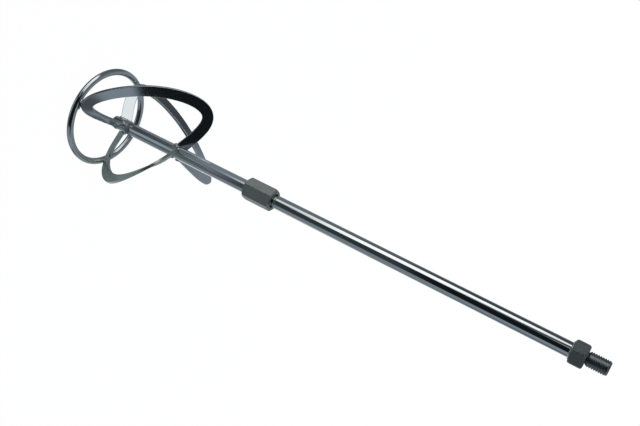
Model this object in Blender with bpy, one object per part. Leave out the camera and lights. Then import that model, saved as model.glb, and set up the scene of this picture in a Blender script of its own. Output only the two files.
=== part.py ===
"""Mortar mixing paddle: a welded three-blade mixing head and a drive rod that screws into it.

Metres, +Z up. The paddle stands on its ring, with the shaft's axis on Z and the drive thread on top.
"""
import math

import bmesh
import bpy
from mathutils import Matrix, Vector

# Space left between pieces that touch, or are welded, on the real paddle
GAP = 0.0003

# Bottom ring: a hoop of round rod at the foot of the head
RING_RADIUS = 0.0523
RING_ROD_RADIUS = 0.0036
RING_PLANE_Z = RING_ROD_RADIUS

# Head shaft
SHAFT_RADIUS = 0.0069
SHAFT_BOTTOM_Z = 0.0165
CHAMFER = 0.0008

# Coupling: a long hex nut, welded to the head shaft and threaded for the drive rod
HEX_ACROSS_FLATS = 0.021
HEX_END_RADIUS = 0.0098
HEX_CHAMFER_SLOPE = math.tan(math.radians(42))
COUPLING_BOTTOM_Z = 0.2015
COUPLING_TOP_Z = 0.2350
COUPLING_TURN = math.radians(16)
COUPLING_SOCKET_DEPTH = 0.012

# M14 x 2 right-hand thread
PITCH = 0.002
MAJOR_RADIUS = 0.0069
MINOR_RADIUS = 0.0057
THREAD_STEPS = 16
THREAD_LEVELS = ((0.0, MINOR_RADIUS), (0.4, MAJOR_RADIUS), (0.6, MAJOR_RADIUS))
THREAD_CLEARANCE = 0.0005
THREAD_ENGAGED = 0.018

# Neck between the coupling and the tube, and the ring that is welded round it
NECK_RADIUS = 0.0048
NECK_RING_RADIUS = 0.0064
NECK_RING_LENGTH = 0.0024
TUBE_BOTTOM_Z = COUPLING_TOP_Z + 0.004

# Drive end: hex for a spanner, and threaded stud for the mixer's spindle
TOTAL_LENGTH = 0.580
DRIVE_HEX_TOP_Z = 0.5600
DRIVE_HEX_BOTTOM_Z = 0.5472
DRIVE_HEX_TURN = math.radians(25)
COUNTERSINK_RADIUS = 0.0073
COUNTERSINK_DEPTH = 0.0015

# Drive tube, and the spigots that the two studs have inside it
TUBE_TOP_Z = DRIVE_HEX_BOTTOM_Z - GAP
TUBE_BORE_RADIUS = 0.0054
SPIGOT_RADIUS = TUBE_BORE_RADIUS - GAP
SPIGOT_LENGTH = 0.020

# Blades: flat bar, bent edgewise. A foot runs out from the shaft's end to the ring, a band climbs
# clockwise, seen from the drive end, and an arm comes back to the shaft.
BAR_WIDTH = 0.012
BAR_THICKNESS = 0.003
BLADE_INNER_RADIUS = 0.0075
BLADE_OVERRUN = 0.005
BAND_START_RADIUS = 0.0583
BAND_MIDDLE_RADIUS = 0.0615
BAND_END_RADIUS = 0.0613
FOOT_INNER_Z = 0.0277
BAND_START_Z = -0.0042
ARM_INNER_Z = 0.1082
ARM_LAG = math.radians(1)
PATH_STEP = 0.005
PATH_RELAXING = 0.033

# The blades are formed and set by hand: azimuth of the foot, sweep of the band, height of its end, and
# the twist of the foot, the band and the arm
BLADES = (
    (math.radians(280), math.radians(114), 0.1340, (-10, 1, -12)),
    (math.radians(37), math.radians(113), 0.1365, (3, -7, -20)),
    (math.radians(170), math.radians(103), 0.1417, (-7, -7, -8)),
)
TWIST_REACH = 0.060
TWIST_FADE = 0.045

# Weld beads
BEAD_RADIUS = 0.0013
FOOT_BEAD_LENGTH = 0.006
RING_BEAD_LENGTH = 0.004
FILLET_SIZE = 0.0014

ROUND_STEPS = 32
RING_STEPS = 48
ROD_STEPS = 12
BEAD_STEPS = 8

# Finishes: base colour, roughness
BRIGHT_ZINC = ((0.62, 0.66, 0.69), 0.16)
DULL_ZINC = ((0.20, 0.23, 0.24), 0.42)
THREAD_STEEL = ((0.22, 0.24, 0.25), 0.35)
WELD_STEEL = ((0.48, 0.51, 0.53), 0.38)


def clear_scene():
    for old in list(bpy.data.objects):
        bpy.data.objects.remove(old, do_unlink=True)


def add_empty(name, height):
    """A parent for one rigid group, with its origin on the shaft's axis."""
    empty = bpy.data.objects.new(name, None)
    empty.location = (0, 0, height)
    empty.empty_display_size = 0.02
    bpy.context.scene.collection.objects.link(empty)
    bpy.context.view_layer.update()
    return empty


def add_piece(name, mesh, finish, parent):
    """One sub-part, in its own material, as a child of its group."""
    color, roughness = finish
    material = bpy.data.materials.new(name)
    material.use_nodes = True
    shader = material.node_tree.nodes["Principled BSDF"]
    shader.inputs["Base Color"].default_value = (*color, 1.0)
    shader.inputs["Roughness"].default_value = roughness
    shader.inputs["Metallic"].default_value = 1.0
    mesh.materials.append(material)
    mesh.shade_smooth()
    mesh.set_sharp_from_angle(angle=math.radians(35))
    piece = bpy.data.objects.new(name, mesh)
    bpy.context.scene.collection.objects.link(piece)
    piece.parent = parent
    piece.matrix_parent_inverse = parent.matrix_world.inverted()
    return piece


def add_boolean(piece, operation, mesh):
    """Cuts a piece with a mesh, or keeps only what they share."""
    cutter = bpy.data.objects.new(mesh.name, mesh)
    bpy.context.scene.collection.objects.link(cutter)
    cutter.hide_render = True
    cutter.display_type = "WIRE"
    cutter.parent = piece.parent
    cutter.matrix_parent_inverse = piece.matrix_parent_inverse
    modifier = piece.modifiers.new(mesh.name, "BOOLEAN")
    modifier.operation = operation
    modifier.object = cutter


def mesh_from_shell(name, shell):
    bmesh.ops.recalc_face_normals(shell, faces=shell.faces)
    mesh = bpy.data.meshes.new(name)
    shell.to_mesh(mesh)
    shell.free()
    return mesh


def add_bands(shell, rings):
    """Quads between each ring of vertices and the next one."""
    for low, high in zip(rings, rings[1:]):
        for i in range(len(low)):
            j = (i + 1) % len(low)
            shell.faces.new((low[i], low[j], high[j], high[i]))


def lofted(name, rows):
    """A closed solid through rows of points, with a cap at each end."""
    shell = bmesh.new()
    rings = [[shell.verts.new(point) for point in row] for row in rows]
    add_bands(shell, rings)
    shell.faces.new(rings[0])
    shell.faces.new(rings[-1])
    return mesh_from_shell(name, shell)


def circle(radius, height, steps=ROUND_STEPS, turn=0.0):
    angles = [turn + math.tau * i / steps for i in range(steps)]
    return [Vector((radius * math.cos(a), radius * math.sin(a), height)) for a in angles]


def turned(name, profile, steps=ROUND_STEPS):
    """A solid of revolution about Z from (radius, height) points, bottom to top."""
    return lofted(name, [circle(radius, height, steps) for radius, height in profile])


def turned_ring(name, outline, steps=ROUND_STEPS):
    """A ring about Z from a closed outline of (radius, height) points."""
    shell = bmesh.new()
    rings = [[shell.verts.new(point) for point in circle(*corner, steps)] for corner in outline]
    add_bands(shell, rings + rings[:1])
    return mesh_from_shell(name, shell)


def threaded(name, below, thread, above, clearance=0.0):
    """A stud: plain rows below, a right-hand thread between two heights, and plain rows above.

    The thread's rows follow its helix, and every thread has its root at the same angle at height 0,
    so that two threads of this pitch fit each other. Rows that would pass an end of the thread stop
    there, and a cone of 45 degrees starts each end from the plain row's radius.
    """
    bottom, top = thread
    first = math.floor(bottom / PITCH) - 1
    last = math.ceil(top / PITCH) + 1
    levels = [(turn + rise, radius + clearance) for turn in range(first, last) for rise, radius in THREAD_LEVELS]
    shell = bmesh.new()

    def vertex(step, level):
        rise, radius = level
        part = step / THREAD_STEPS
        height = min(max(PITCH * (rise + part), bottom), top)
        radius = min(radius, below[-1][0] + height - bottom, above[0][0] + top - height)
        angle = math.tau * part
        return shell.verts.new((radius * math.cos(angle), radius * math.sin(angle), height))

    columns = [[vertex(step, level) for level in levels] for step in range(THREAD_STEPS + 1)]
    for left, right in zip(columns, columns[1:]):
        for i in range(len(levels) - 1):
            shell.faces.new((left[i], right[i], right[i + 1], left[i + 1]))
    lower = [[shell.verts.new(point) for point in circle(*row, THREAD_STEPS)] for row in below]
    upper = [[shell.verts.new(point) for point in circle(*row, THREAD_STEPS)] for row in above]
    add_bands(shell, lower)
    add_bands(shell, upper)
    shell.faces.new(lower[0])
    shell.faces.new(upper[-1])
    bmesh.ops.remove_doubles(shell, verts=shell.verts, dist=0.000001)
    return mesh_from_shell(name, shell)


def hexagon_bar(name, bottom, top, turn):
    corner_radius = HEX_ACROSS_FLATS / math.sqrt(3)
    return lofted(name, [circle(corner_radius, height, 6, turn) for height in (bottom, top)])


def hexagon_barrel(name, bottom, top):
    """The turned blank that gives a hexagon bar its chamfered ends."""
    full_radius = HEX_ACROSS_FLATS / 2 * 1.2
    slope = (full_radius - HEX_END_RADIUS) * HEX_CHAMFER_SLOPE
    profile = (
        (HEX_END_RADIUS, bottom),
        (full_radius, bottom + slope),
        (full_radius, top - slope),
        (HEX_END_RADIUS, top),
    )
    return turned(name, profile, 2 * ROUND_STEPS)


def add_hexagon(name, bottom, top, turn, parent):
    piece = add_piece(name, hexagon_bar(name, bottom, top, turn), DULL_ZINC, parent)
    add_boolean(piece, "INTERSECT", hexagon_barrel(name + "_barrel", bottom, top))
    return piece


def add_fillet(name, radius, corner_z, side, parent):
    """A weld ring in the corner between a round bar and a flat face, above or below the face."""
    inner = radius + GAP
    near = corner_z + side * GAP
    outline = (
        (inner, near),
        (inner + FILLET_SIZE, near),
        (inner + 0.6 * FILLET_SIZE, near + side * 0.6 * FILLET_SIZE),
        (inner, near + side * FILLET_SIZE),
    )
    return add_piece(name, turned_ring(name, outline), WELD_STEEL, parent)


def on_cylinder(radius, azimuth, height):
    return Vector((radius * math.cos(azimuth), radius * math.sin(azimuth), height))


def relaxed(points):
    """Evenly spaced points along a line of points, with its corners rounded by averaging neighbours."""
    lengths = [0.0]
    for before, after in zip(points, points[1:]):
        lengths.append(lengths[-1] + (after - before).length)
    count = round(lengths[-1] / PATH_STEP)
    even = []
    segment = 0
    for i in range(count + 1):
        distance = lengths[-1] * i / count
        while segment < len(points) - 2 and lengths[segment + 1] < distance:
            segment += 1
        part = (distance - lengths[segment]) / (lengths[segment + 1] - lengths[segment])
        even.append(points[segment].lerp(points[segment + 1], part))
    for _ in range(round(2 * (PATH_RELAXING / PATH_STEP) ** 2)):
        middle = [(a + 2 * b + c) / 4 for a, b, c in zip(even, even[1:], even[2:])]
        even = [even[0], *middle, even[-1]]
    return even


def band_point(part, azimuth, sweep, end_z):
    """A point of the unrounded band: a helix on a barrel, from part 0 at the foot to 1 at the arm."""
    rise = BAND_START_RADIUS * (1 - part) * (1 - 2 * part)
    bulge = BAND_MIDDLE_RADIUS * 4 * part * (1 - part)
    fall = BAND_END_RADIUS * part * (2 * part - 1)
    height = BAND_START_Z + (end_z - BAND_START_Z) * part
    return on_cylinder(rise + bulge + fall, azimuth - sweep * part, height)


def end_share(distance):
    """How much of an end's own twist a station takes: all at the shaft, none past the bend."""
    part = min(max((TWIST_REACH - distance) / TWIST_FADE, 0.0), 1.0)
    return part * part * (3 - 2 * part)


def blade_frames(azimuth, sweep, end_z, twists):
    """Stations along one blade: centre, direction, width direction and face normal."""
    band = [band_point(i / 100, azimuth, sweep, end_z) for i in range(101)]
    foot = on_cylinder(BLADE_INNER_RADIUS, azimuth, FOOT_INNER_Z)
    arm = on_cylinder(BLADE_INNER_RADIUS, azimuth - sweep - ARM_LAG, ARM_INNER_Z)
    path = relaxed([foot, *band, arm])
    path.insert(0, path[0] + (path[0] - path[1]).normalized() * BLADE_OVERRUN)
    path.append(path[-1] + (path[-1] - path[-2]).normalized() * BLADE_OVERRUN)
    foot_normal = (band[0] - foot).cross(band[4] - band[0]).normalized()
    arm_normal = (band[-1] - band[-5]).cross(arm - band[-1]).normalized()
    arm_normal.rotate(Matrix.Rotation(sweep, 3, "Z"))
    foot_twist, band_twist, arm_twist = twists
    walked = [0.0]
    for before, after in zip(path, path[1:]):
        walked.append(walked[-1] + (after - before).length)
    frames = []
    for i, centre in enumerate(path):
        direction = (path[min(i + 1, len(path) - 1)] - path[max(i - 1, 0)]).normalized()
        swept = (azimuth - math.atan2(centre.y, centre.x)) % math.tau
        part = swept / sweep if swept < math.pi * 1.5 else 0.0
        part = min(part, 1.0)
        normal = foot_normal.lerp(arm_normal, part)
        normal.rotate(Matrix.Rotation(-sweep * part, 3, "Z"))
        normal = (normal - direction * normal.dot(direction)).normalized()
        foot_share = end_share(walked[i] - BLADE_OVERRUN)
        arm_share = end_share(walked[-1] - walked[i] - BLADE_OVERRUN)
        twist = foot_twist * foot_share + arm_twist * arm_share + band_twist * (1 - foot_share) * (1 - arm_share)
        normal.rotate(Matrix.Rotation(math.radians(twist), 3, direction))
        frames.append((centre, direction, normal.cross(direction), normal))
    return frames


def blade_mesh(name, frames):
    across = BAR_WIDTH / 2
    through = BAR_THICKNESS / 2
    rows = []
    for centre, _, width, normal in frames:
        corners = ((across, through), (-across, through), (-across, -through), (across, -through))
        rows.append([centre + width * a + normal * b for a, b in corners])
    return lofted(name, rows)


def bead_mesh(name, start, end):
    """A weld bead: a round sausage between two points."""
    axis = (end - start).normalized()
    side = axis.orthogonal().normalized()
    lift = axis.cross(side)
    rows = []
    for centre, sign, angles in ((start, -1, (80, 50, 20)), (end, 1, (20, 50, 80))):
        for angle in angles:
            offset = axis * sign * BEAD_RADIUS * math.sin(math.radians(angle))
            radius = BEAD_RADIUS * math.cos(math.radians(angle))
            turn = [math.tau * i / BEAD_STEPS for i in range(BEAD_STEPS)]
            rows.append([centre + offset + (side * math.cos(t) + lift * math.sin(t)) * radius for t in turn])
    return lofted(name, rows)


def shaft_distance(point):
    return math.hypot(point.x, point.y) - SHAFT_RADIUS


def ring_distance(point):
    return math.hypot(math.hypot(point.x, point.y) - RING_RADIUS, point.z - RING_PLANE_Z) - RING_ROD_RADIUS


def add_bead(name, middle, axis, away, distance, length, parent):
    """A bead along an axis, moved away from the shaft or the ring until it is clear of it."""
    half = axis * (length / 2)
    clear = BEAD_RADIUS + GAP
    while min(distance(middle + half * part) for part in (-1, -0.5, 0, 0.5, 1)) < clear:
        middle = middle + away * 0.0001
    add_piece(name, bead_mesh(name, middle - half, middle + half), WELD_STEEL, parent)


def add_blade(number, parent):
    frames = blade_frames(*BLADES[number])
    label = str(number + 1)
    blade = add_piece("blade_" + label, blade_mesh("blade_" + label, frames), BRIGHT_ZINC, parent)
    shaft_rows = ((SHAFT_RADIUS + GAP, 0.0), (SHAFT_RADIUS + GAP, COUPLING_BOTTOM_Z))
    add_boolean(blade, "DIFFERENCE", turned("shaft_space_" + label, shaft_rows))
    off_face = BAR_THICKNESS / 2 + GAP + BEAD_RADIUS

    centre, direction, width, normal = frames[1]
    middle = centre + normal * off_face - direction * 0.004
    add_bead("foot_weld_" + label, middle, width, direction, shaft_distance, FOOT_BEAD_LENGTH, parent)

    centre, direction, width, normal = frames[-2]
    middle = centre + normal * off_face + direction * 0.004
    add_bead("arm_weld_" + label, middle, width, -direction, shaft_distance, FOOT_BEAD_LENGTH, parent)

    def outer_edge(frame):
        return frame[0] - frame[2] * (BAR_WIDTH / 2)

    nearest = min(frames, key=lambda frame: ring_distance(outer_edge(frame)))
    centre, direction, width, normal = nearest
    middle = outer_edge(nearest) + normal * off_face
    add_bead("ring_weld_" + label, middle, direction, width, ring_distance, RING_BEAD_LENGTH, parent)


def add_ring(parent):
    turns = [math.tau * i / ROD_STEPS for i in range(ROD_STEPS)]
    outline = [
        (RING_RADIUS + RING_ROD_RADIUS * math.cos(t), RING_PLANE_Z + RING_ROD_RADIUS * math.sin(t)) for t in turns
    ]
    add_piece("bottom_ring", turned_ring("bottom_ring", outline, RING_STEPS), BRIGHT_ZINC, parent)


def add_head_shaft(parent):
    top = COUPLING_BOTTOM_Z + COUPLING_SOCKET_DEPTH
    profile = (
        (SHAFT_RADIUS - CHAMFER, SHAFT_BOTTOM_Z),
        (SHAFT_RADIUS, SHAFT_BOTTOM_Z + CHAMFER),
        (SHAFT_RADIUS, top - CHAMFER),
        (SHAFT_RADIUS - CHAMFER, top),
    )
    add_piece("head_shaft", turned("head_shaft", profile), BRIGHT_ZINC, parent)


def add_coupling(parent):
    coupling = add_hexagon("coupling", COUPLING_BOTTOM_Z, COUPLING_TOP_Z, COUPLING_TURN, parent)
    socket_top = COUPLING_BOTTOM_Z + COUPLING_SOCKET_DEPTH + GAP
    socket_radius = SHAFT_RADIUS + GAP
    socket_rows = ((socket_radius, COUPLING_BOTTOM_Z - 0.001), (socket_radius, socket_top))
    add_boolean(coupling, "DIFFERENCE", turned("coupling_socket", socket_rows))
    root = MINOR_RADIUS + THREAD_CLEARANCE
    below = ((root - CHAMFER, socket_top - 0.001), (root - CHAMFER, socket_top + 0.001))
    mouth = MAJOR_RADIUS + THREAD_CLEARANCE
    above = ((mouth, COUPLING_TOP_Z + 0.0005), (mouth, COUPLING_TOP_Z + 0.001))
    thread = (below[-1][1], above[0][1])
    add_boolean(coupling, "DIFFERENCE", threaded("coupling_thread", below, thread, above, THREAD_CLEARANCE))


def add_coupling_stud(parent):
    bottom = COUPLING_TOP_Z - THREAD_ENGAGED
    below = ((MINOR_RADIUS - CHAMFER, bottom), (MINOR_RADIUS - CHAMFER / 2, bottom + 0.0001))
    above = (
        (NECK_RADIUS, COUPLING_TOP_Z),
        (NECK_RADIUS, TUBE_BOTTOM_Z),
        (SPIGOT_RADIUS, TUBE_BOTTOM_Z + GAP),
        (SPIGOT_RADIUS, TUBE_BOTTOM_Z + SPIGOT_LENGTH - CHAMFER),
        (SPIGOT_RADIUS - CHAMFER, TUBE_BOTTOM_Z + SPIGOT_LENGTH),
    )
    mesh = threaded("coupling_stud", below, (below[-1][1], COUPLING_TOP_Z), above)
    add_piece("coupling_stud", mesh, THREAD_STEEL, parent)


def add_neck_ring(parent):
    top = TUBE_BOTTOM_Z - GAP
    bottom = top - NECK_RING_LENGTH
    inner = NECK_RADIUS + GAP
    edge = NECK_RING_RADIUS - CHAMFER / 2
    outline = (
        (inner, bottom),
        (edge, bottom),
        (NECK_RING_RADIUS, bottom + CHAMFER / 2),
        (NECK_RING_RADIUS, top),
        (inner, top),
    )
    add_piece("neck_ring", turned_ring("neck_ring", outline), WELD_STEEL, parent)


def add_tube(parent):
    edge = SHAFT_RADIUS - CHAMFER / 2
    outline = (
        (TUBE_BORE_RADIUS, TUBE_BOTTOM_Z),
        (edge, TUBE_BOTTOM_Z),
        (SHAFT_RADIUS, TUBE_BOTTOM_Z + CHAMFER / 2),
        (SHAFT_RADIUS, TUBE_TOP_Z),
        (TUBE_BORE_RADIUS, TUBE_TOP_Z),
    )
    add_piece("drive_tube", turned_ring("drive_tube", outline), BRIGHT_ZINC, parent)


def add_drive_hex(parent):
    drive_hex = add_hexagon("drive_hex", DRIVE_HEX_BOTTOM_Z, DRIVE_HEX_TOP_Z, DRIVE_HEX_TURN, parent)
    rows = (
        (TUBE_BORE_RADIUS, DRIVE_HEX_BOTTOM_Z - 0.001),
        (TUBE_BORE_RADIUS, DRIVE_HEX_TOP_Z - COUNTERSINK_DEPTH),
        (COUNTERSINK_RADIUS, DRIVE_HEX_TOP_Z),
        (COUNTERSINK_RADIUS, DRIVE_HEX_TOP_Z + 0.001),
    )
    add_boolean(drive_hex, "DIFFERENCE", turned("drive_hex_bore", rows))


def add_drive_stud(parent):
    below = (
        (SPIGOT_RADIUS - CHAMFER, TUBE_TOP_Z - SPIGOT_LENGTH),
        (SPIGOT_RADIUS, TUBE_TOP_Z - SPIGOT_LENGTH + CHAMFER),
        (SPIGOT_RADIUS, DRIVE_HEX_TOP_Z + GAP),
    )
    above = ((MINOR_RADIUS - CHAMFER / 2, TOTAL_LENGTH - 0.0001), (MINOR_RADIUS - CHAMFER, TOTAL_LENGTH))
    mesh = threaded("drive_stud", below, (below[-1][1], above[0][1]), above)
    add_piece("drive_stud", mesh, THREAD_STEEL, parent)


def build_mixing_head():
    head = add_empty("mixing_head", 0.0)
    add_ring(head)
    for number in range(len(BLADES)):
        add_blade(number, head)
    add_head_shaft(head)
    add_coupling(head)
    add_fillet("coupling_weld", SHAFT_RADIUS, COUPLING_BOTTOM_Z, -1, head)


def build_drive_rod():
    carrier = add_empty("rod_carrier", COUPLING_TOP_Z)
    add_neck_ring(carrier)
    rod = add_empty("drive_rod", COUPLING_TOP_Z)
    add_coupling_stud(rod)
    add_tube(rod)
    add_drive_hex(rod)
    add_fillet("drive_hex_weld", SHAFT_RADIUS, DRIVE_HEX_BOTTOM_Z, -1, rod)
    add_drive_stud(rod)


clear_scene()
build_mixing_head()
build_drive_rod()
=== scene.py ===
"""Looks for the mortar mixing paddle: fine plated-steel pieces on the frame, a studio and a camera."""
import math

import bmesh
import bpy
from mathutils import Matrix, Vector, noise


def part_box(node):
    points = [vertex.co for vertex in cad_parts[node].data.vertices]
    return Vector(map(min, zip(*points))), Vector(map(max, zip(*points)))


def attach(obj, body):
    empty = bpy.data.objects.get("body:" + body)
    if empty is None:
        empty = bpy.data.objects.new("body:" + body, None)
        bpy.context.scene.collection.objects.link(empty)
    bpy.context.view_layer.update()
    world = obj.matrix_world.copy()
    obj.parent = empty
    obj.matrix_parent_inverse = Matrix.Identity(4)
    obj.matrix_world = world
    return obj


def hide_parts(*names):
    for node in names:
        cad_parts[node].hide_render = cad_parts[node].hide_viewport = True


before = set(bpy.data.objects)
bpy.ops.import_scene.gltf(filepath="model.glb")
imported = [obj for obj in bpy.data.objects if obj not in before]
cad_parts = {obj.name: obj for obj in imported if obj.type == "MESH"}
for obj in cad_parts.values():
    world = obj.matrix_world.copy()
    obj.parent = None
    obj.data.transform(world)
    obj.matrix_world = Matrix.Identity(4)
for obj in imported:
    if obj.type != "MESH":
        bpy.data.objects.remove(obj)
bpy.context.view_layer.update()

MM = 0.001

# The blades follow the CAD's rule: a foot from the shaft's end, a band on a barrel, and an arm back
BAR_WIDTH = 12.0 * MM
BAR_THICKNESS = 3.0 * MM
BAR_EDGE_RADIUS = 0.45 * MM
BLADE_INNER_RADIUS = 7.5 * MM
BLADE_OVERRUN = 3.0 * MM
BAND_START_RADIUS = 58.3 * MM
BAND_MIDDLE_RADIUS = 61.5 * MM
BAND_END_RADIUS = 61.3 * MM
FOOT_INNER_Z = 27.7 * MM
BAND_START_Z = -4.2 * MM
ARM_INNER_Z = 108.2 * MM
ARM_LAG = math.radians(1)
PATH_STEP = 5.0 * MM
PATH_RELAXING = 33.0 * MM
PATH_REFINING = 4
BLADES = (
    (math.radians(280), math.radians(114), 134.0 * MM, (-10, 1, -12)),
    (math.radians(37), math.radians(113), 136.5 * MM, (3, -7, -20)),
    (math.radians(170), math.radians(103), 141.7 * MM, (-7, -7, -8)),
)
TWIST_REACH = 60.0 * MM
TWIST_FADE = 45.0 * MM

# Sizes read from the frame
RING_LOW, RING_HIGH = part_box("bottom_ring")
ROD_RADIUS = (RING_HIGH.z - RING_LOW.z) / 2
RING_RADIUS = RING_HIGH.x - ROD_RADIUS
SHAFT_LOW, SHAFT_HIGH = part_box("head_shaft")
SHAFT_RADIUS = SHAFT_HIGH.x
COUPLING_LOW, COUPLING_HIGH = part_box("coupling")
TUBE_LOW, TUBE_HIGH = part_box("drive_tube")
HEX_LOW, HEX_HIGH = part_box("drive_hex")
STUD_LOW, STUD_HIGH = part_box("drive_stud")
NECK_LOW, NECK_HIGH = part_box("neck_ring")
LOWER_STUD_LOW, LOWER_STUD_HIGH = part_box("coupling_stud")

# Hexagons and threads, as in the CAD
HEX_ACROSS_FLATS = 21.0 * MM
HEX_END_RADIUS = 9.8 * MM
HEX_CHAMFER_RISE = math.tan(math.radians(42))
HEX_CORNER_RADIUS = HEX_ACROSS_FLATS / 2 * 1.148
HEX_END_HEIGHT = 3.2 * MM
HEX_END_ROWS = 20
COUPLING_TURN = math.radians(16)
DRIVE_HEX_TURN = math.radians(25)
TUBE_BORE_RADIUS = 5.4 * MM
SPIGOT_RADIUS = 5.1 * MM
SPIGOT_CHAMFER = 0.8 * MM
SHAFT_CHAMFER = 0.8 * MM
SHAFT_EDGE = 0.3 * MM
TUBE_EDGE = 0.5 * MM
NECK_RADIUS = 4.8 * MM
NECK_CLEARANCE = 0.2 * MM
NECK_EDGE = 0.8 * MM
PITCH = 2.0 * MM
MAJOR_RADIUS = 6.9 * MM
MINOR_RADIUS = 5.7 * MM
ROOT_RADIUS = 6.15 * MM
THREAD_CLEARANCE = 0.5 * MM
THREAD_START = 0.05 * MM
DRIVE_NECK_LENGTH = 0.4 * MM

# Fineness: points round a turned piece, a hexagon, a thread, the ring, its rod and a weld bead
TURNED_STEPS = 128
HEX_STEPS = 360
THREAD_STEPS = 96
THREAD_ROWS_PER_PITCH = 14
RING_STEPS = 240
ROD_STEPS = 32
BEAD_STEPS = 16
ROUND_WELD_STEPS = 160

# Weld beads: half thickness and unevenness of each kind, and what the moving weld pool leaves on all
FOOT_BEAD_SIZE = 1.7 * MM
ARM_BEAD_SIZE = 1.9 * MM
BLADE_BEAD_UNEVEN = 0.45 * MM
BLADE_BEAD_WAVE = 5 * MM
BLADE_BEAD_STEPS = 72
BLADE_BEAD_RIPPLES = 14
RING_BEAD_SIZE = 2.3 * MM
RING_BEAD_LENGTH = 13 * MM
RING_BEAD_STEPS = 28
RING_BEAD_RIPPLES = 7
RING_BEAD_SHARE = 0.35
COUPLING_BEAD_SIZE = 1.0 * MM
COUPLING_BEAD_RIPPLES = 24
HEX_BEAD_SIZE = 1.1 * MM
HEX_BEAD_RIPPLES = 22
ROUND_BEAD_OUT = 0.3 * MM
ROUND_BEAD_UNEVEN = 0.35
ROUND_BEAD_WAVE = 4 * MM
RIPPLE_HEIGHT = 0.06
LUMP_HEIGHT = 0.07
LUMP_SIZE = 2.2 * MM


# ---------------------------------------------------------------- meshes

def add_piece(name, mesh, body, nodes, material, sharp_angle=40):
    """A visible piece that rides on a body and stands for CAD nodes."""
    mesh.shade_smooth()
    mesh.set_sharp_from_angle(angle=math.radians(sharp_angle))
    piece = bpy.data.objects.new(name, mesh)
    bpy.context.scene.collection.objects.link(piece)
    piece.data.materials.append(material)
    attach(piece, body)
    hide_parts(*nodes)
    return piece


def mesh_from_shell(name, shell):
    bmesh.ops.recalc_face_normals(shell, faces=shell.faces)
    mesh = bpy.data.meshes.new(name)
    shell.to_mesh(mesh)
    shell.free()
    return mesh


def lofted(name, rows, capped=True):
    """Quads through closed rows of points: with a cap at each end, or joined up from last to first."""
    shell = bmesh.new()
    rings = [[shell.verts.new(point) for point in row] for row in rows]
    pairs = list(zip(rings, rings[1:]))
    if capped:
        shell.faces.new(rings[0])
        shell.faces.new(rings[-1])
    else:
        pairs.append((rings[-1], rings[0]))
    for low, high in pairs:
        for i in range(len(low)):
            j = (i + 1) % len(low)
            shell.faces.new((low[i], low[j], high[j], high[i]))
    return mesh_from_shell(name, shell)


def circle(radius, height, steps=TURNED_STEPS):
    angles = [math.tau * i / steps for i in range(steps)]
    return [Vector((radius * math.cos(a), radius * math.sin(a), height)) for a in angles]


def broken_edge(before, corner, after, reach):
    """A small arc in place of a corner, with a point beside each end so that long faces shade as straight."""
    back = (before - corner).normalized() * reach
    on = (after - corner).normalized() * reach
    start = corner + back
    end = corner + on
    arc = [start.lerp(corner, t).lerp(corner.lerp(end, t), t) for t in (0, 0.25, 0.5, 0.75, 1)]
    return [corner + back * 1.1, *arc, corner + on * 1.1]


def rounded(profile, radius):
    """A closed (radius, height) outline with its corners turned into small arcs."""
    points = [Vector(corner) for corner in profile]
    smooth = []
    for i, corner in enumerate(points):
        before = points[i - 1]
        after = points[(i + 1) % len(points)]
        reach = min(radius, 0.45 * (before - corner).length, 0.45 * (after - corner).length)
        smooth += broken_edge(before, corner, after, reach)
    return smooth


def turned_ring(name, outline):
    """An outline of (radius, height) points turned round Z."""
    return lofted(name, [circle(radius, height) for radius, height in outline], capped=False)


def turned_bar(name, bottom, top, radius, chamfer, edge):
    """A round bar with chamfers whose edges are broken."""
    outline = [
        Vector((radius * 0.2, bottom)),
        Vector((radius - chamfer, bottom)),
        Vector((radius, bottom + chamfer)),
        Vector((radius, top - chamfer)),
        Vector((radius - chamfer, top)),
        Vector((radius * 0.2, top)),
    ]
    profile = [outline[0]]
    for before, corner, after in zip(outline, outline[1:], outline[2:]):
        profile += broken_edge(before, corner, after, edge)
    profile.append(outline[-1])
    return lofted(name, [circle(radius, height) for radius, height in profile])


# ---------------------------------------------------------------- blades

def on_cylinder(radius, azimuth, height):
    return Vector((radius * math.cos(azimuth), radius * math.sin(azimuth), height))


def relaxed(points):
    """Evenly spaced points along a line of points, with its corners rounded by averaging neighbours."""
    lengths = [0.0]
    for before, after in zip(points, points[1:]):
        lengths.append(lengths[-1] + (after - before).length)
    count = round(lengths[-1] / PATH_STEP)
    even = []
    segment = 0
    for i in range(count + 1):
        distance = lengths[-1] * i / count
        while segment < len(points) - 2 and lengths[segment + 1] < distance:
            segment += 1
        part = (distance - lengths[segment]) / (lengths[segment + 1] - lengths[segment])
        even.append(points[segment].lerp(points[segment + 1], part))
    for _ in range(round(2 * (PATH_RELAXING / PATH_STEP) ** 2)):
        middle = [(a + 2 * b + c) / 4 for a, b, c in zip(even, even[1:], even[2:])]
        even = [even[0], *middle, even[-1]]
    return even


def refined(points):
    """More points on a smooth curve through the given ones."""
    ends = [2 * points[0] - points[1], *points, 2 * points[-1] - points[-2]]
    fine = []
    for a, b, c, d in zip(ends, ends[1:], ends[2:], ends[3:]):
        for k in range(PATH_REFINING):
            t = k / PATH_REFINING
            fine.append(0.5 * (2 * b + (c - a) * t + (2 * a - 5 * b + 4 * c - d) * t ** 2
                               + (3 * b - a - 3 * c + d) * t ** 3))
    return [*fine, points[-1]]


def band_point(part, azimuth, sweep, end_z):
    """A point on the band, whose radius follows a parabola through its start, middle and end."""
    rise = BAND_START_RADIUS * (1 - part) * (1 - 2 * part)
    bulge = BAND_MIDDLE_RADIUS * 4 * part * (1 - part)
    fall = BAND_END_RADIUS * part * (2 * part - 1)
    height = BAND_START_Z + (end_z - BAND_START_Z) * part
    return on_cylinder(rise + bulge + fall, azimuth - sweep * part, height)


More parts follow.
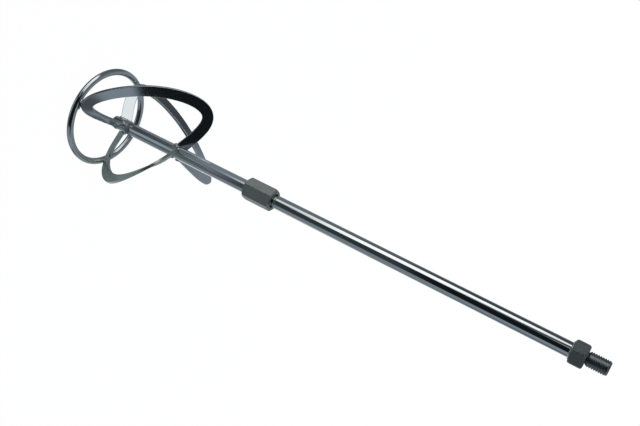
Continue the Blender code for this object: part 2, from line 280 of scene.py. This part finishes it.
def end_share(distance):
    """How much of an end's own twist a station takes: all at the shaft, none past the bend."""
    part = min(max((TWIST_REACH - distance) / TWIST_FADE, 0.0), 1.0)
    return part * part * (3 - 2 * part)


def blade_frames(azimuth, sweep, end_z, twists):
    """Stations along one blade: centre, direction, width direction and face normal."""
    band = [band_point(i / 100, azimuth, sweep, end_z) for i in range(101)]
    foot = on_cylinder(BLADE_INNER_RADIUS, azimuth, FOOT_INNER_Z)
    arm = on_cylinder(BLADE_INNER_RADIUS, azimuth - sweep - ARM_LAG, ARM_INNER_Z)
    path = relaxed([foot, *band, arm])
    path.insert(0, path[0] + (path[0] - path[1]).normalized() * BLADE_OVERRUN)
    path.append(path[-1] + (path[-1] - path[-2]).normalized() * BLADE_OVERRUN)
    path = refined(path)
    foot_normal = (band[0] - foot).cross(band[4] - band[0]).normalized()
    arm_normal = (band[-1] - band[-5]).cross(arm - band[-1]).normalized()
    arm_normal.rotate(Matrix.Rotation(sweep, 3, "Z"))
    foot_twist, band_twist, arm_twist = twists
    walked = [0.0]
    for before, after in zip(path, path[1:]):
        walked.append(walked[-1] + (after - before).length)
    frames = []
    for i, centre in enumerate(path):
        direction = (path[min(i + 1, len(path) - 1)] - path[max(i - 1, 0)]).normalized()
        swept = (azimuth - math.atan2(centre.y, centre.x)) % math.tau
        part = swept / sweep if swept < math.pi * 1.5 else 0.0
        part = min(part, 1.0)
        normal = foot_normal.lerp(arm_normal, part)
        normal.rotate(Matrix.Rotation(-sweep * part, 3, "Z"))
        normal = (normal - direction * normal.dot(direction)).normalized()
        foot_share = end_share(walked[i] - BLADE_OVERRUN)
        arm_share = end_share(walked[-1] - walked[i] - BLADE_OVERRUN)
        band_share = (1 - foot_share) * (1 - arm_share)
        twist = foot_twist * foot_share + arm_twist * arm_share + band_twist * band_share
        normal.rotate(Matrix.Rotation(math.radians(twist), 3, direction))
        frames.append((centre, direction, normal.cross(direction), normal))
    return frames


def bar_section(frame_at):
    """A rolled flat bar's section: rounded corners, and a point beside each so that the flats stay flat."""
    centre, _, width, normal = frame_at
    radius = BAR_EDGE_RADIUS
    points = []
    for quarter, (side, face) in enumerate(((1, 1), (-1, 1), (-1, -1), (1, -1))):
        corner = []
        for k in range(5):
            angle = math.pi / 2 * (quarter + k / 4)
            across = side * (BAR_WIDTH / 2 - radius) + radius * math.cos(angle)
            through = face * (BAR_THICKNESS / 2 - radius) + radius * math.sin(angle)
            corner.append(centre + width * across + normal * through)
        beside = centre + width * side * (BAR_WIDTH / 2 - radius * 1.3) + normal * face * BAR_THICKNESS / 2
        points += [*corner, beside] if quarter % 2 == 0 else [beside, *corner]
    return points


def add_blades(material, satin_painted_reflection, weld):
    """The three blades with their welds; the second has the duller finish, and its greenish colour is a
    painted reflection.
    """
    for number, blade in enumerate(BLADES, 1):
        frames = blade_frames(*blade)
        mesh = lofted(f"bar_{number}", [bar_section(station) for station in frames])
        finish = satin_painted_reflection if number == 2 else material
        add_piece(f"bar_{number}", mesh, "mixing_head", [f"blade_{number}"], finish)
        add_blade_welds(number, frames, weld)
        add_ring_weld(number, frames, weld)


# ---------------------------------------------------------------- welds

def weld_bead(name, path, sizes, ripples, closed, seed):
    """A bead along a path, with the ripples of a moving weld pool and a little unevenness."""
    rows = []
    count = len(path)
    for i, (point, size) in enumerate(zip(path, sizes)):
        after = path[(i + 1) % count] if closed else path[min(i + 1, count - 1)]
        before = path[i - 1] if closed else path[max(i - 1, 0)]
        direction = (after - before).normalized()
        side = direction.orthogonal().normalized() if i == 0 else side - direction * side.dot(direction)
        side.normalize()
        lift = direction.cross(side)
        ripple = 1 + RIPPLE_HEIGHT * abs(math.sin(math.pi * ripples * i / count))
        row = []
        for k in range(BEAD_STEPS):
            angle = math.tau * k / BEAD_STEPS
            out = side * math.cos(angle) + lift * math.sin(angle)
            spot = (point + out * size) / LUMP_SIZE + Vector((seed, 0, 0))
            row.append(point + out * size * (ripple + LUMP_HEIGHT * noise.noise(spot)))
        rows.append(row)
    return lofted(name, rows, capped=not closed)


def shaft_joint(section, direction):
    """Where a bar's edges, followed along its direction, meet the shaft's surface."""
    line = []
    for point in section:
        a = direction.x ** 2 + direction.y ** 2
        b = point.x * direction.x + point.y * direction.y
        c = point.x ** 2 + point.y ** 2 - SHAFT_RADIUS ** 2
        root = math.sqrt(max(b * b - a * c, 0.0))
        line.append(point + direction * ((-b - root) / a))
    return line


def evened(points, count):
    """The same closed line with evenly spaced points."""
    line = [*points, points[0]]
    lengths = [0.0]
    for before, after in zip(line, line[1:]):
        lengths.append(lengths[-1] + (after - before).length)
    even = []
    segment = 0
    for i in range(count):
        distance = lengths[-1] * i / count
        while lengths[segment + 1] < distance:
            segment += 1
        span = max(lengths[segment + 1] - lengths[segment], 1e-9)
        even.append(line[segment].lerp(line[segment + 1], (distance - lengths[segment]) / span))
    return even


def add_blade_welds(number, frames, material):
    """Beads round both ends of a blade, a little out from the stations inside the shaft."""
    inward = PATH_REFINING * 2
    ends = (("foot", frames[inward], -1, FOOT_BEAD_SIZE), ("arm", frames[-1 - inward], 1, ARM_BEAD_SIZE))
    for place, station, sign, size in ends:
        line = evened(shaft_joint(bar_section(station), station[1] * sign), BLADE_BEAD_STEPS)
        sizes = [size + BLADE_BEAD_UNEVEN * noise.noise(point / BLADE_BEAD_WAVE) for point in line]
        mesh = weld_bead(f"{place}_bead_{number}", line, sizes, BLADE_BEAD_RIPPLES, True, number * 7)
        nodes = [f"{place}_weld_{number}"]
        add_piece(f"{place}_bead_{number}", mesh, "mixing_head", nodes, material, 60)


def gap_to_ring(point):
    """From a point to the ring rod's centre line."""
    return Vector((point.x, point.y, 0)).normalized() * RING_RADIUS + Vector((0, 0, ROD_RADIUS)) - point


def add_ring_weld(number, frames, material):
    """A bead along the ring where the blade's edge comes nearest to it."""
    edge_points = [point for station in frames for point in bar_section(station)]
    nearest = min(edge_points, key=lambda point: gap_to_ring(point).length)
    middle = nearest + gap_to_ring(nearest) * RING_BEAD_SHARE
    along = Vector((-nearest.y, nearest.x, 0)).normalized()
    radius = math.hypot(middle.x, middle.y)
    line = []
    sizes = []
    for i in range(RING_BEAD_STEPS):
        part = i / (RING_BEAD_STEPS - 1)
        straight = middle + along * ((part - 0.5) * RING_BEAD_LENGTH)
        line.append(Vector((straight.x, straight.y, 0)).normalized() * radius + Vector((0, 0, straight.z)))
        sizes.append(RING_BEAD_SIZE * max(1 - (2 * part - 1) ** 4, 0.02) ** 0.5)
    mesh = weld_bead(f"ring_bead_{number}", line, sizes, RING_BEAD_RIPPLES, False, number * 11)
    nodes = [f"ring_weld_{number}"]
    add_piece(f"ring_bead_{number}", mesh, "mixing_head", nodes, material, 60)


def add_round_weld(name, node, body, height, size, ripples, material):
    """A bead round the shaft or the tube where a hexagon ends."""
    line = circle(SHAFT_RADIUS + ROUND_BEAD_OUT, height, ROUND_WELD_STEPS)
    sizes = [size * (1 + ROUND_BEAD_UNEVEN * noise.noise(point / ROUND_BEAD_WAVE)) for point in line]
    mesh = weld_bead(name, line, sizes, ripples, True, ripples)
    add_piece(name, mesh, body, [node], material, 60)


# ---------------------------------------------------------------- hexagons and threads

def hexagon_radius(angle, turn):
    """Distance to a hexagon's side at an angle, with its corners slightly rounded."""
    within = (angle - turn) % (math.pi / 3) - math.pi / 6
    return min(HEX_ACROSS_FLATS / 2 / math.cos(within), HEX_CORNER_RADIUS)


def add_hexagon(name, node, body, low, high, turn, bore, material):
    """Hexagon bar with turned chamfers: the smaller of the hexagon's and the turned cone's radius."""
    rises = [HEX_END_HEIGHT * (k / HEX_END_ROWS) ** 1.3 for k in range(HEX_END_ROWS + 1)]
    heights = [(low + rise, rise) for rise in rises] + [(high - rise, rise) for rise in reversed(rises)]
    rows = [circle(bore, high, HEX_STEPS), circle(bore, low, HEX_STEPS)]
    for height, rise in heights:
        cone = HEX_END_RADIUS + rise / HEX_CHAMFER_RISE
        row = []
        for i in range(HEX_STEPS):
            angle = math.tau * i / HEX_STEPS
            radius = min(hexagon_radius(angle, turn), cone)
            row.append(Vector((radius * math.cos(angle), radius * math.sin(angle), height)))
        rows.append(row)
    mesh = lofted(name, rows, capped=False)
    add_piece(name, mesh, body, [node], material, 24)


def thread_radius(rise):
    """Radius of a rounded 60-degree thread at a part of its pitch."""
    wave = 0.5 - 0.5 * math.cos(math.tau * (rise - 0.05))
    shaped = min(max(wave * 1.25 - 0.08, 0.0), 1.0)
    return ROOT_RADIUS + (MAJOR_RADIUS - ROOT_RADIUS) * shaped


def threaded_rows(bottom, top, lead_in, lead_out):
    """Rows of a right-hand thread between two heights, with a cone at each end."""
    count = round((top - bottom) / PITCH * THREAD_ROWS_PER_PITCH)
    rows = []
    for k in range(count + 1):
        height = bottom + (top - bottom) * k / count
        row = []
        for i in range(THREAD_STEPS):
            angle = math.tau * i / THREAD_STEPS
            radius = thread_radius((height / PITCH - i / THREAD_STEPS) % 1.0)
            radius = min(radius, lead_in + (height - bottom), lead_out + (top - height))
            row.append(Vector((radius * math.cos(angle), radius * math.sin(angle), height)))
        rows.append(row)
    return rows


def add_drive_stud(material):
    """A spigot in the tube's end, then the drive thread."""
    shoulder = HEX_HIGH.z + DRIVE_NECK_LENGTH
    rows = [
        circle(SPIGOT_RADIUS - SPIGOT_CHAMFER, STUD_LOW.z, THREAD_STEPS),
        circle(SPIGOT_RADIUS, STUD_LOW.z + SPIGOT_CHAMFER, THREAD_STEPS),
        circle(SPIGOT_RADIUS, shoulder, THREAD_STEPS),
    ]
    rows += threaded_rows(shoulder + THREAD_START, STUD_HIGH.z, SPIGOT_RADIUS, MINOR_RADIUS - 0.3 * MM)
    mesh = lofted("drive_thread", rows)
    add_piece("drive_thread", mesh, "drive_rod", ["drive_stud"], material, 60)


def add_lower_stud(material):
    """The thread in the coupling, then a neck and a spigot in the tube's end."""
    top = COUPLING_HIGH.z
    rows = threaded_rows(LOWER_STUD_LOW.z, top, MINOR_RADIUS - 0.8 * MM, NECK_RADIUS)
    rows += [
        circle(NECK_RADIUS, top + THREAD_START, THREAD_STEPS),
        circle(NECK_RADIUS, TUBE_LOW.z, THREAD_STEPS),
        circle(SPIGOT_RADIUS, TUBE_LOW.z + 0.3 * MM, THREAD_STEPS),
        circle(SPIGOT_RADIUS, LOWER_STUD_HIGH.z - SPIGOT_CHAMFER, THREAD_STEPS),
        circle(SPIGOT_RADIUS - SPIGOT_CHAMFER, LOWER_STUD_HIGH.z, THREAD_STEPS),
    ]
    mesh = lofted("lower_thread", rows)
    add_piece("lower_thread", mesh, "drive_rod", ["coupling_stud"], material, 60)


# ---------------------------------------------------------------- round pieces

def add_ring(material):
    """The hoop of round rod that the paddle stands on."""
    rows = []
    for i in range(RING_STEPS):
        angle = math.tau * i / RING_STEPS
        out = Vector((math.cos(angle), math.sin(angle), 0))
        row = []
        for k in range(ROD_STEPS):
            turn = math.tau * k / ROD_STEPS
            lift = Vector((0, 0, math.sin(turn))) + Vector((0, 0, 1))
            row.append(out * (RING_RADIUS + ROD_RADIUS * math.cos(turn)) + lift * ROD_RADIUS)
        rows.append(row)
    mesh = lofted("ring_rod", rows, capped=False)
    add_piece("ring_rod", mesh, "mixing_head", ["bottom_ring"], material)


def add_round_pieces(bright, weld):
    """The head's shaft, the long tube, and the ring round the neck between them."""
    mesh = turned_bar("shaft_bar", SHAFT_LOW.z, SHAFT_HIGH.z, SHAFT_RADIUS, SHAFT_CHAMFER, SHAFT_EDGE)
    add_piece("shaft_bar", mesh, "mixing_head", ["head_shaft"], bright)
    outline = (
        (TUBE_BORE_RADIUS, TUBE_LOW.z),
        (SHAFT_RADIUS, TUBE_LOW.z),
        (SHAFT_RADIUS, TUBE_HIGH.z),
        (TUBE_BORE_RADIUS, TUBE_HIGH.z),
    )
    mesh = turned_ring("tube_wall", rounded(outline, TUBE_EDGE))
    add_piece("tube_wall", mesh, "drive_rod", ["drive_tube"], bright)
    inner = NECK_RADIUS + NECK_CLEARANCE
    outer = NECK_HIGH.x
    outline = ((inner, NECK_LOW.z), (outer, NECK_LOW.z), (outer, NECK_HIGH.z), (inner, NECK_HIGH.z))
    mesh = turned_ring("neck_collar", rounded(outline, NECK_EDGE))
    add_piece("neck_collar", mesh, "rod_carrier", ["neck_ring"], weld)


# ---------------------------------------------------------------- materials

def plated_steel(name, color, roughness, variation, grain_scale, grain_bump, tint):
    """Zinc-plated steel: cloudy plating and fine grain or drawing lines."""
    material = bpy.data.materials.new(name)
    material.use_nodes = True
    nodes = material.node_tree.nodes
    links = material.node_tree.links
    shader = nodes["Principled BSDF"]
    shader.inputs["Metallic"].default_value = 1.0
    place = nodes.new("ShaderNodeTexCoord")

    cloud = nodes.new("ShaderNodeTexNoise")
    cloud.inputs["Scale"].default_value = 90
    cloud.inputs["Detail"].default_value = 5
    links.new(place.outputs["Object"], cloud.inputs["Vector"])
    colors = nodes.new("ShaderNodeMix")
    colors.data_type = "RGBA"
    colors.inputs["A"].default_value = (*color, 1)
    colors.inputs["B"].default_value = (*tint, 1)
    links.new(cloud.outputs["Fac"], colors.inputs["Factor"])
    links.new(colors.outputs["Result"], shader.inputs["Base Color"])

    stretch = nodes.new("ShaderNodeMapping")
    stretch.inputs["Scale"].default_value = grain_scale
    links.new(place.outputs["Object"], stretch.inputs["Vector"])
    grain = nodes.new("ShaderNodeTexNoise")
    grain.inputs["Scale"].default_value = 1.0
    grain.inputs["Detail"].default_value = 4
    links.new(stretch.outputs["Vector"], grain.inputs["Vector"])

    rough = nodes.new("ShaderNodeMapRange")
    rough.inputs["From Min"].default_value = 0.3
    rough.inputs["From Max"].default_value = 0.7
    rough.inputs["To Min"].default_value = roughness - variation
    rough.inputs["To Max"].default_value = roughness + variation
    links.new(grain.outputs["Fac"], rough.inputs["Value"])
    links.new(rough.outputs["Result"], shader.inputs["Roughness"])

    bump = nodes.new("ShaderNodeBump")
    bump.inputs["Strength"].default_value = grain_bump
    bump.inputs["Distance"].default_value = 0.05 * MM
    links.new(grain.outputs["Fac"], bump.inputs["Height"])
    links.new(bump.outputs["Normal"], shader.inputs["Normal"])
    return material


# Each finish: colour, roughness and its variation, grain scale and bump, and the colour of the clouds in it
DRAWN_LINES = (900, 900, 40)
BRIGHT = plated_steel("bright_zinc", (0.62, 0.65, 0.66), 0.08, 0.03, DRAWN_LINES, 0.08, (0.55, 0.58, 0.58))
BLADE = plated_steel("blade_zinc", (0.60, 0.64, 0.67), 0.12, 0.03, (500,) * 3, 0.06, (0.53, 0.57, 0.59))
# The second blade's greenish colour is a painted reflection on the same steel as the other blades; its higher
# roughness is its own.
SATIN_PAINTED_REFLECTION = plated_steel("satin_zinc_painted_reflection", (0.60, 0.67, 0.60), 0.42, 0.06, (500,) * 3, 0.06, (0.52, 0.59, 0.52))
DULL = plated_steel("dull_zinc", (0.50, 0.53, 0.50), 0.56, 0.07, (700,) * 3, 0.30, (0.42, 0.45, 0.42))
TURNED = plated_steel("turned_zinc", (0.38, 0.41, 0.41), 0.90, 0.05, (700,) * 3, 0.25, (0.33, 0.36, 0.36))
THREAD = plated_steel("thread_zinc", (0.31, 0.34, 0.36), 0.30, 0.06, (800,) * 3, 0.25, (0.25, 0.27, 0.27))
WELD = plated_steel("weld_zinc", (0.52, 0.55, 0.54), 0.26, 0.08, (900,) * 3, 0.35, (0.42, 0.45, 0.44))


# ---------------------------------------------------------------- studio

CAMERA_PLACE = Vector((0.0, -0.7111, 0.5925))
CAMERA_TARGET = Vector((-0.0096, 0.0, 0.2852))
CAMERA_ROLL = math.radians(116.34)
CAMERA_LENS = 45
FLOOR_RADIUS = 8
FLOOR_DROP = 0.0002
FLOOR_GLOW = 0.98


def add_camera():
    data = bpy.data.cameras.new("camera")
    data.lens = CAMERA_LENS
    data.sensor_width = 36
    camera = bpy.data.objects.new("camera", data)
    bpy.context.scene.collection.objects.link(camera)
    aim = (CAMERA_TARGET - CAMERA_PLACE).to_track_quat("-Z", "Y").to_matrix().to_4x4()
    camera.matrix_world = Matrix.Translation(CAMERA_PLACE) @ aim @ Matrix.Rotation(CAMERA_ROLL, 4, "Z")
    bpy.context.scene.camera = camera


def add_floor():
    """A white floor that stays out of the mirror images, which the studio's panels make."""
    mesh = bpy.data.meshes.new("floor")
    shell = bmesh.new()
    bmesh.ops.create_circle(shell, cap_ends=True, radius=FLOOR_RADIUS, segments=96)
    shell.to_mesh(mesh)
    shell.free()
    floor = bpy.data.objects.new("floor", mesh)
    bpy.context.scene.collection.objects.link(floor)
    floor.location.z = -FLOOR_DROP
    floor.visible_glossy = False
    material = bpy.data.materials.new("floor")
    material.use_nodes = True
    nodes = material.node_tree.nodes
    shader = nodes["Principled BSDF"]
    shader.inputs["Base Color"].default_value = (0.05, 0.05, 0.05, 1)
    shader.inputs["Roughness"].default_value = 1
    shader.inputs["Emission Color"].default_value = (1, 1, 1, 1)
    shader.inputs["Emission Strength"].default_value = FLOOR_GLOW
    mesh.materials.append(material)


# The studio that the plating mirrors, as soft-edged panels far away: azimuth and elevation of the
# middle, half width, half height and softness of the edge in degrees, brightness, and how far the
# panel leans in azimuth for each degree above the horizon
STUDIO_GREY = 0.30
STUDIO_TINT = (0.87, 1.0, 1.13)
LAMP_BRIGHTNESS = 0.7
STUDIO_PANELS = (
    ("ceiling", 205, 90, 62, 27, 12, 0.09, 0),
    ("grey_wall", 171, 22, 33, 48, 14, 0.18, 0),
    ("low_wall", 172, -3, 28, 13, 10, 0.08, 0),
    ("pale_wall", 10, 22, 48, 34, 16, 0.34, 0),
    ("wall_seam", 18, 1, 9, 13, 9, 0.10, 0),
    ("low_sweep", 66, -36, 32, 14, 10, 0.95, 0),
    ("nadir", 100, -82, 38, 14, 8, 0.11, 0),
    ("dark_floor", 222, -58, 38, 24, 6, 0.085, 0),
    ("dark_corner", 322, -44, 16, 14, 8, 0.14, 0),
    ("floor_glow", 280, -43, 20, 9, 8, 0.46, 0),
    ("flag_foot", 285, -24, 36, 7, 5, 0.05, 0),
    ("flag", 285, 28, 38, 46, 7, 0.012, 0),
    ("flag_top", 319, 51, 31, 26, 6, 0.012, 0),
    ("dark_gap", 240, 0, 20, 7, 5, 0.055, 0),
    ("strip_top", 221, 21, 22, 16, 8, 1.3, 0),
    ("strip_middle", 211, 0, 8, 7, 5, 1.4, -0.85),
    ("strip_upper", 208, -10, 18, 5, 4, 1.6, -0.85),
    ("strip_low", 209, -18, 24, 6, 4, 1.6, -0.85),
    ("strip_tail", 206, -26, 14, 3.5, 4, 1.1, -0.85),
    ("edge_light", 255, 1, 4, 6, 3, 0.6, 0),
)


def add_world():
    """A studio for reflections: plain white to the camera, panels to everything else."""
    world = bpy.data.worlds.new("studio")
    bpy.context.scene.world = world
    world.use_nodes = True
    nodes = world.node_tree.nodes
    links = world.node_tree.links

    def math_node(operation, *values):
        node = nodes.new("ShaderNodeMath")
        node.operation = operation
        for socket, value in zip(node.inputs, values):
            if isinstance(value, (int, float)):
                socket.default_value = value
            else:
                links.new(value, socket)
        return node.outputs[0]

    def inside(distance, half, soft):
        """1 within half of the middle, 0 outside, with a soft edge."""
        node = nodes.new("ShaderNodeMapRange")
        node.interpolation_type = "SMOOTHSTEP"
        node.inputs["From Min"].default_value = half - soft / 2
        node.inputs["From Max"].default_value = half + soft / 2
        node.inputs["To Min"].default_value = 1
        node.inputs["To Max"].default_value = 0
        links.new(distance, node.inputs["Value"])
        return node.outputs["Result"]

    place = nodes.new("ShaderNodeTexCoord")
    split = nodes.new("ShaderNodeSeparateXYZ")
    links.new(place.outputs["Generated"], split.inputs["Vector"])
    degrees = 180 / math.pi
    elevation = math_node("MULTIPLY", math_node("ARCSINE", split.outputs["Z"]), degrees)
    straight = math_node("MULTIPLY", math_node("ARCTAN2", split.outputs["Y"], split.outputs["X"]), degrees)

    def tinted(brightness):
        """Lamps are white, and the dimmer room around them is bluish."""
        tint = (1, 1, 1) if brightness > LAMP_BRIGHTNESS else STUDIO_TINT
        return (*(brightness * channel for channel in tint), 1)

    color = nodes.new("ShaderNodeRGB").outputs[0]
    color.default_value = tinted(STUDIO_GREY)
    for name, middle, height, half_width, half_height, soft, brightness, lean in STUDIO_PANELS:
        azimuth = math_node("SUBTRACT", straight, math_node("MULTIPLY", elevation, lean))
        turn = math_node("MODULO", math_node("ADD", azimuth, 5 * 180.0 - middle), 360.0)
        across = inside(math_node("ABSOLUTE", math_node("SUBTRACT", turn, 180.0)), half_width, soft)
        up = inside(math_node("ABSOLUTE", math_node("SUBTRACT", elevation, height)), half_height, soft)
        mix = nodes.new("ShaderNodeMix")
        mix.data_type = "RGBA"
        mix.label = name
        links.new(math_node("MULTIPLY", across, up), mix.inputs["Factor"])
        links.new(color, mix.inputs["A"])
        mix.inputs["B"].default_value = tinted(brightness)
        color = mix.outputs["Result"]

    rays = nodes.new("ShaderNodeLightPath")
    seen = nodes.new("ShaderNodeMix")
    seen.data_type = "RGBA"
    links.new(rays.outputs["Is Camera Ray"], seen.inputs["Factor"])
    links.new(color, seen.inputs["A"])
    seen.inputs["B"].default_value = (1, 1, 1, 1)
    links.new(seen.outputs["Result"], nodes["Background"].inputs["Color"])


bpy.context.scene.view_settings.view_transform = "Standard"

add_ring(BRIGHT)
add_blades(BLADE, SATIN_PAINTED_REFLECTION, WELD)
add_round_pieces(BRIGHT, WELD)
add_hexagon("coupling_hexagon", "coupling", "mixing_head", COUPLING_LOW.z, COUPLING_HIGH.z, COUPLING_TURN,
            MAJOR_RADIUS + THREAD_CLEARANCE, DULL)
add_hexagon("drive_hexagon", "drive_hex", "drive_rod", HEX_LOW.z, HEX_HIGH.z, DRIVE_HEX_TURN,
            TUBE_BORE_RADIUS, TURNED)
add_drive_stud(THREAD)
add_lower_stud(THREAD)
add_round_weld("coupling_bead", "coupling_weld", "mixing_head", COUPLING_LOW.z,
               COUPLING_BEAD_SIZE, COUPLING_BEAD_RIPPLES, WELD)
add_round_weld("hexagon_bead", "drive_hex_weld", "drive_rod", HEX_LOW.z,
               HEX_BEAD_SIZE, HEX_BEAD_RIPPLES, WELD)
add_floor()
add_world()
add_camera()
